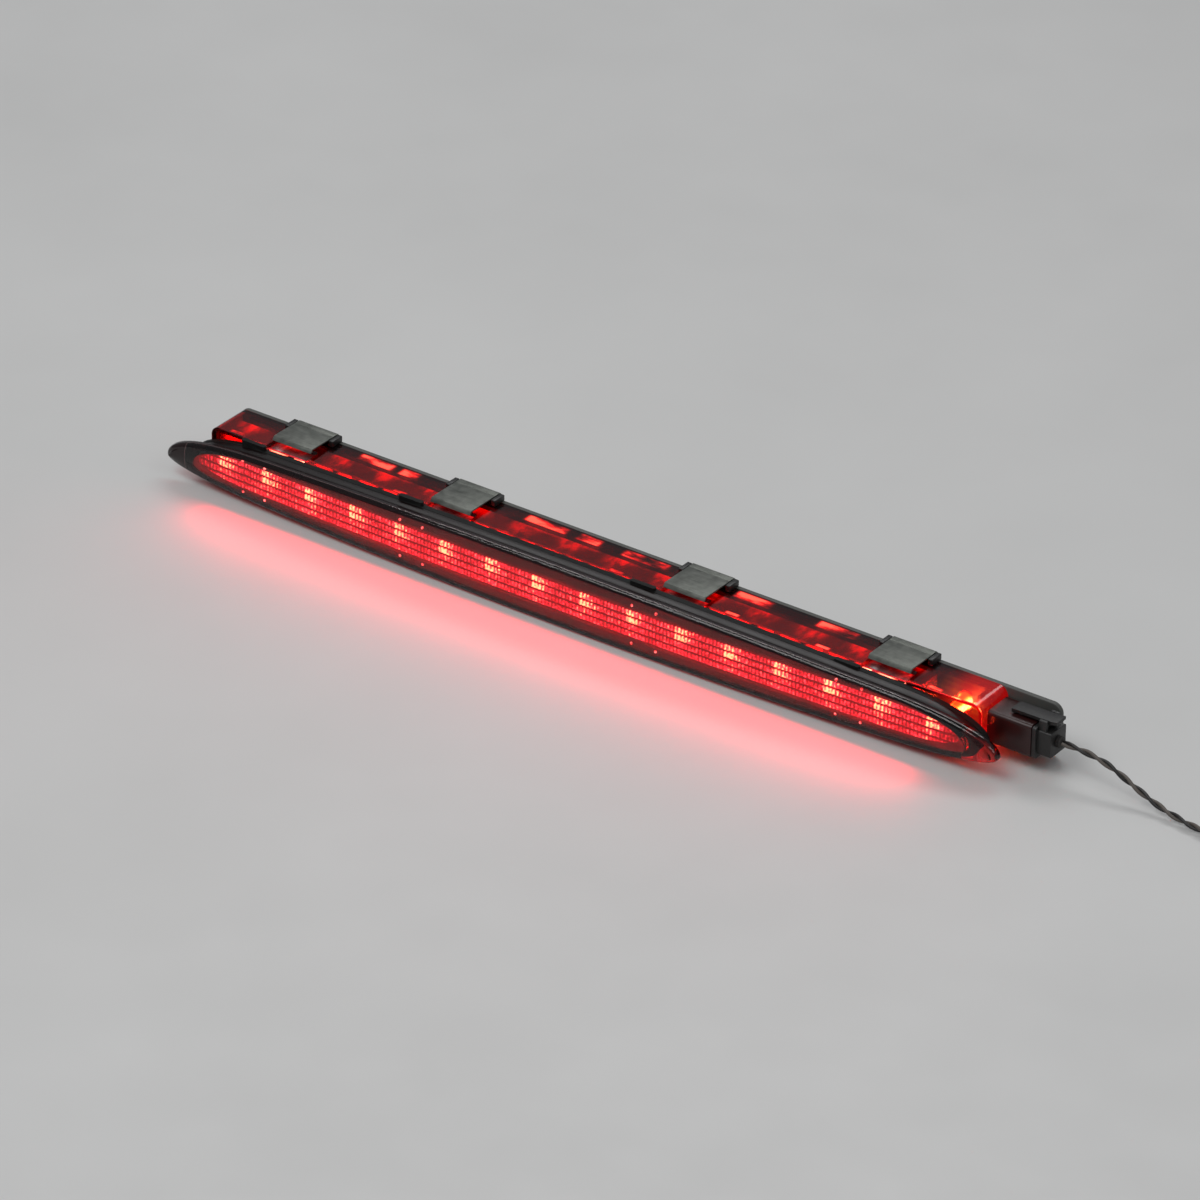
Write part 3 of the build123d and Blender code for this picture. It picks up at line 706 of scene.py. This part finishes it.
resistor_chip = grained("resistor_chip", (0.012, 0.012, 0.014), (0.030, 0.030, 0.034), 0.3,
                        0.20 * MM, 0.01 * MM)
steel = spring_steel()
tin = bright_metal("tinned_wire", (0.55, 0.54, 0.52), (0.78, 0.77, 0.75), 0.28)
brass = bright_metal("brass_contact", (0.60, 0.40, 0.16), (0.80, 0.58, 0.26), 0.26)
pin_steel = bright_metal("pin_steel", (0.42, 0.42, 0.42), (0.62, 0.62, 0.61), 0.30)


# ------------------------------------------------------------------ pieces


def make_lens():
    """The lens: a crowned front, rounded edges, solid ends, and a hollow back."""
    shell = Shell()
    slope = math.atan(4 * LENS_CROWN / (lens_top - 2 * LENS_ROUND))
    steps = 7
    for step in range(steps + 1):
        angle = slope + (math.pi / 2 - slope) * step / steps
        inset = LENS_ROUND * (1 - math.sin(angle)) / (1 - math.sin(slope))
        depth = LENS_CROWN + LENS_ROUND * (math.cos(slope) - math.cos(angle))
        columns = lens_columns(inset, inset)
        shell.ring(columns, depth)
        if step == 0:
            shell.fill(shell.rings[0], columns, LENS_CROWN, LENS_CROWN, 12)
    shell.ring(lens_columns(0, 0), LENS_EDGE - 0.4 * MM)
    shell.ring(lens_columns(0.3 * MM, 0.3 * MM), LENS_EDGE - 0.05 * MM)
    skirt = lens_columns(SKIRT_INSET, SKIRT_TIP_INSET)
    shell.ring(skirt, LENS_EDGE)
    shell.ring(skirt, FRAME_BACK - 0.4 * MM)
    mouth = lens_columns(HOLLOW_INSET - HOLLOW_DRAFT, HOLLOW_TIP_INSET - 2 * HOLLOW_DRAFT)
    shell.ring(mouth, FRAME_BACK - 0.4 * MM)
    inner = lens_columns(HOLLOW_INSET, HOLLOW_TIP_INSET)
    shell.ring(inner, LENS_SKIN)
    shell.fill(shell.rings[-1], inner, LENS_SKIN, 0, 8)
    piece("lens", shell.points, shell.faces, lens_red, stands_for=["outer_lens"], sharp=42)


def make_rim():
    """The gloss black rim behind the lens, with its front outer edge softened."""
    shell = Shell()
    front, back = LENS_EDGE + 0.08 * MM, FRAME_BACK - 0.02 * MM
    for inset, tip_inset, depth in (
        (SKIRT_INSET - RIM_GAP, SKIRT_TIP_INSET, front),
        (RIM_INSET + RIM_SOFT, RIM_TIP_INSET + RIM_SOFT, front),
        (RIM_INSET + RIM_BEND, RIM_TIP_INSET + RIM_BEND, front + 0.3 * RIM_SOFT),
        (RIM_INSET, RIM_TIP_INSET, front + RIM_SOFT),
        (RIM_INSET, RIM_TIP_INSET, back),
        (SKIRT_INSET - RIM_GAP, SKIRT_TIP_INSET, back),
    ):
        shell.ring(lens_columns(inset, tip_inset), depth)
    shell.close()
    piece("rim", shell.points, shell.faces, rim_black, stands_for=["rim_frame"])


def panel_profile(station, height):
    """Return how far the panel's front lies behind its highest point, from its bands and flutes."""
    band = (window_top - window_bottom) / BAND_COUNT
    place = ((height - window_bottom) / band) % 1
    from_seam = min(place, 1 - place) * band
    crown = BAND_CROWN * (1 - math.sqrt(max(1 - (2 * place - 1) ** 4, 0)))
    groove = GROOVE_DEPTH * (1 - smooth(from_seam / GROOVE))
    flute = FLUTE_DEPTH * (1 - abs(math.cos(math.pi * station / FLUTE)))
    return crown + groove + flute


def make_panel():
    """The ribbed panel: four long bands, each crossed by fine upright flutes."""
    columns = window_columns(FLUTE / 4)
    rows = []
    band = (window_top - window_bottom) / BAND_COUNT
    # The rows of points lie closer together near a band's edges, where it curves most.
    for number in range(BAND_COUNT):
        for share in (0.0, 0.05, 0.11, 0.22, 0.40, 0.60, 0.78, 0.89, 0.95):
            rows.append(window_bottom + band * (number + share))
    rows.append(window_top)
    points, faces = [], []
    for station, low, high in columns:
        section = [(at_depth(PANEL_BACK + bow(station)), low)]
        for row in rows:
            height = min(max(row, low), high)
            front = PANEL_FRONT + bow(station) + panel_profile(station, height)
            section.append((at_depth(front), height))
        section.append((at_depth(PANEL_BACK + bow(station)), high))
        points += [(at_x(station), depth, height) for depth, height in section]
    size = len(rows) + 2
    for column in range(len(columns) - 1):
        for row in range(size):
            after = (row + 1) % size
            here, there = column * size, (column + 1) * size
            faces.append((here + row, there + row, there + after, here + after))
    faces.append(list(range(size)))
    faces.append([(len(columns) - 1) * size + row for row in range(size)])
    piece("panel", points, faces, panel_finish(), stands_for=["light_panel"], sharp=60)


def make_studs():
    """Snap studs: small domed pegs, set in pairs, with the lamp's light painted on them by their finish.
    """
    points, faces = [], []
    low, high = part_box("snap_studs")
    middle_z = (low.z + high.z) / 2
    vertices = [vertex.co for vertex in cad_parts["snap_studs"].data.vertices]
    groups = []
    for station in sorted({round(co.x / (0.1 * MM)) for co in vertices}):
        if not groups or station - groups[-1][-1] > 4:
            groups.append([])
        groups[-1].append(station)
    for group in groups:
        centre_x = (group[0] + group[-1]) / 2 * 0.1 * MM
        near = [co for co in vertices if abs(co.x - centre_x) < 1 * MM]
        for side in (-1, 1):
            part = [co for co in near if (co.z - middle_z) * side > 0]
            centre = sum(part, Vector()) / len(part)
            front = min(co.y for co in part)
            back = max(co.y for co in part)
            rings = ((1.0, back), (1.0, front + 0.2 * MM), (0.7, front + 0.06 * MM), (0.3, front))
            faces += ring_faces(len(rings), STUD_SIDES, len(points))
            for share, depth in rings:
                for turn in range(STUD_SIDES):
                    angle = 2 * math.pi * turn / STUD_SIDES
                    points.append((centre.x + STUD_RADIUS * share * math.cos(angle), depth,
                                   centre.z + STUD_RADIUS * share * math.sin(angle)))
    piece("studs", points, faces, stud_finish(), stands_for=["snap_studs"])


def make_body():
    """The lamp's other parts, with rounded edges or just as the CAD has them."""
    rounded("rim_gasket", 0.35 * MM, gasket_black)
    rounded("back_cover", 0.45 * MM, cover_grey)
    rounded("clip_catches", 0.25 * MM, catch_black)
    rounded("socket_housing", 0.45 * MM, socket_maroon)
    for number in range(1, CLIP_COUNT + 1):
        rounded(f"spring_clip_{number}", 0.16 * MM, steel)
        rounded(f"clip_leaf_{number}", 0.16 * MM, steel, f"leaf_{number}")
    dressed("housing", housing_red)
    dressed("light_mask", mask_finish())
    dressed("reflector_tray", tray_finish())
    dressed("circuit_board", board_finish())
    dressed("led_domes", led_finish())
    dressed("led_legs", tin)
    dressed("resistors", resistor_chip)
    dressed("blocking_diode", catch_black)
    dressed("board_pads", foam_finish())
    dressed("terminal_pins", brass)


def make_plug():
    """The plug with its latch, and its rubber seal."""
    rounded("plug_housing", 0.35 * MM, plug_black, "plug")
    rounded("latch_lever", 0.3 * MM, plug_black, "latch")
    dressed("latch_pin", pin_steel)
    dressed("plug_contacts", brass)
    points = []
    length = seal_high.x - seal_low.x
    centre_y, centre_z = (seal_low.y + seal_high.y) / 2, (seal_low.z + seal_high.z) / 2
    radius = (seal_high.z - seal_low.z) / 2
    outline = [(0.0, 0.9), (0.12, 1.0), (0.38, 1.0), (0.46, 0.86), (0.56, 0.86), (0.64, 1.0),
               (0.82, 1.0), (0.93, 0.9), (1.0, 0.6)]
    for along, share in outline:
        for turn in range(SEAL_SIDES):
            angle = 2 * math.pi * turn / SEAL_SIDES
            points.append((seal_low.x + along * length, centre_y + radius * share * math.cos(angle),
                           centre_z + radius * share * math.sin(angle)))
    faces = ring_faces(len(outline), SEAL_SIDES)
    return piece("seal", points, faces, seal_black, "plug", ["wire_seal"])


def lead_points():
    """The lead's route: from the seal down to the floor, round its coil, and on to its connector."""
    route = [
        (209.5, 26.0, 12.5), (219.5, 26.0, 12.5), (230.5, 25.7, 10.4), (242.0, 24.6, 6.0),
        (254.0, 22.5, 3.0), (266.0, 20.3, 2.2), (278.0, 18.7, 2.2),
    ]
    points = [Vector((at_x(x * MM), at_depth(depth * MM), z * MM)) for x, depth, z in route]
    # The second turn is drawn in, and the lead is lifted where it passes its own start and near its end.
    steps = 14
    for step in range(int(steps * COIL_TURNS) + 1):
        turn = step / steps
        angle = 2 * math.pi * turn
        drawn_in = smooth((turn - 0.72) / 0.4) * (1 - smooth((turn - 1.75) / 0.3))
        radius = COIL_RADIUS + 0.15 * MM * math.sin(3 * angle) - 2.3 * MM * drawn_in
        lift = (1.9 * smooth((turn - 0.72) / 0.22) * (1 - smooth((turn - 1.12) / 0.2))
                + 2.8 * smooth((turn - 1.62) / 0.3))
        points.append(Vector((at_x(COIL_X) + radius * math.sin(angle),
                              at_depth(COIL_DEPTH) - radius * math.cos(angle), (2.1 + lift) * MM)))
    for x, depth, z in ((304.5, 39.0, 4.8), (303.5, 46.5, 2.9), (303.5, 53.5, 2.9)):
        points.append(Vector((at_x(x * MM), at_depth(depth * MM), z * MM)))
    return points


def smooth_line(points):
    """Return the points of a smooth curve that a route's points pull into shape."""
    curve = bpy.data.curves.new("route", "CURVE")
    curve.dimensions = "3D"
    spline = curve.splines.new("NURBS")
    spline.points.add(len(points) - 1)
    for knot, point in zip(spline.points, points):
        knot.co = (*point, 1)
    spline.order_u = 3
    spline.use_endpoint_u = True
    spline.resolution_u = 8
    route = bpy.data.objects.new("route", curve)
    bpy.context.scene.collection.objects.link(route)
    bpy.context.view_layer.update()
    line = bpy.data.meshes.new_from_object(route)
    spots = [vertex.co.copy() for vertex in line.vertices]
    bpy.data.objects.remove(route)
    return spots


def make_lead(seal):
    """The lead: two thin wires twisted together, a tied coil, and a small connector."""
    line = smooth_line(lead_points())
    strands = {0: [], 1: []}
    travelled = 0.0
    side = Vector((0, 1, 0))
    for number, point in enumerate(line):
        before, after = line[max(number - 1, 0)], line[min(number + 1, len(line) - 1)]
        travelled += (point - before).length
        along = (after - before).normalized()
        side = (side - along * side.dot(along)).normalized()
        across = along.cross(side)
        angle = 2 * math.pi * travelled / TWIST_PITCH
        offset = (side * math.cos(angle) + across * math.sin(angle)) * WIRE_RADIUS
        strands[0].append(point + offset)
        strands[1].append(point - offset)
    points, faces = [], []
    for strand in strands.values():
        spots, quads = tube(strand, WIRE_RADIUS, 10)
        faces += [[index + len(points) for index in quad] for quad in quads]
        points += spots
    lead = piece("lead_pair", points, faces, wire_dark, "plug", ["lead", "lead_coil", "lead_tail"],
                 sharp=60)
    lead.data.materials.append(wire_light)
    # The second wire's faces follow the first wire's, and there are as many of them.
    middle = len(lead.data.polygons) // 2
    for polygon in lead.data.polygons:
        polygon.material_index = 1 if polygon.index >= middle else 0
    tie = rounded("coil_tie", 0.2 * MM, tie_black, "plug")
    far = rounded("far_connector", 0.4 * MM, far_white, "plug")


make_lens()
make_rim()
make_panel()
make_studs()
make_body()
make_lead(make_plug())


# ------------------------------------------------------------------- stage


def direction(azimuth, elevation):
    """Return the unit vector that points from the object towards a viewer."""
    turn, rise = math.radians(azimuth), math.radians(elevation)
    return Vector((math.sin(turn) * math.cos(rise), -math.cos(turn) * math.cos(rise), math.sin(rise)))


def make_floor():
    """A plain floor that reaches past every view."""
    size = 6.0
    mesh = bpy.data.meshes.new("floor")
    mesh.from_pydata([(-size, -size, 0), (size, -size, 0), (size, size, 0), (-size, size, 0)], [],
                     [(0, 1, 2, 3)])
    mesh.materials.append(floor_finish())
    floor = bpy.data.objects.new("floor", mesh)
    bpy.context.scene.collection.objects.link(floor)


def softbox(name, azimuth, elevation, distance, size, power):
    """Hang a soft rectangular light that faces the lamp."""
    data = bpy.data.lights.new(name, "AREA")
    data.shape = "RECTANGLE"
    data.size, data.size_y = size
    data.energy = power
    light = bpy.data.objects.new(name, data)
    aim = direction(azimuth, elevation)
    light.location = aim * distance
    light.rotation_euler = aim.to_track_quat("Z", "Y").to_euler()
    bpy.context.scene.collection.objects.link(light)


def make_glow():
    """The lamp's own light on the floor in front of it, from a strip just before the window."""
    length, height = 330 * MM, 9 * MM
    forward, lowered = 5 * MM, 3 * MM
    data = bpy.data.lights.new("glow", "AREA")
    data.shape = "RECTANGLE"
    data.size, data.size_y = length, height
    data.color = (1.0, 0.02, 0.03)
    data.energy = 0.10
    light = bpy.data.objects.new("glow", data)
    light.location = (lens_x, face_y - forward, led_z - lowered)
    light.rotation_euler = Vector((0, 0.94, 0.34)).to_track_quat("Z", "Y").to_euler()
    light.visible_camera = False
    light.visible_glossy = False
    light.visible_transmission = False
    bpy.context.scene.collection.objects.link(light)


def make_camera():
    """The photograph's view: from the right and above, through a long lens."""
    azimuth, elevation, distance = 36.3, 30.2, 2.688
    shift_right, shift_up = 1.76 * MM, 5.0 * MM
    data = bpy.data.cameras.new("camera")
    data.sensor_width = 36.0
    data.lens = 213.84
    camera = bpy.data.objects.new("camera", data)
    back = direction(azimuth, elevation)
    right = Vector((math.cos(math.radians(azimuth)), math.sin(math.radians(azimuth)), 0))
    up = back.cross(right)
    camera.location = back * distance + right * shift_right + up * shift_up
    camera.rotation_euler = Matrix((right, up, back)).transposed().to_euler()
    data.clip_start, data.clip_end = 0.05, 50
    bpy.context.scene.collection.objects.link(camera)
    bpy.context.scene.camera = camera


def make_world():
    """Dim, even light from all round."""
    world = bpy.data.worlds.new("studio")
    world.use_nodes = True
    background = world.node_tree.nodes["Background"]
    background.inputs["Color"].default_value = (0.93, 0.95, 1.0, 1)
    background.inputs["Strength"].default_value = 0.22
    bpy.context.scene.world = world


make_floor()
softbox("key", -28, 62, 1.6, (1.3, 0.8), 11)
softbox("fill", 80, 40, 1.8, (0.9, 0.9), 4)
softbox("back", 200, 48, 1.6, (1.4, 0.4), 6)
make_glow()
make_world()
make_camera()
bpy.context.scene.view_settings.view_transform = "Standard"
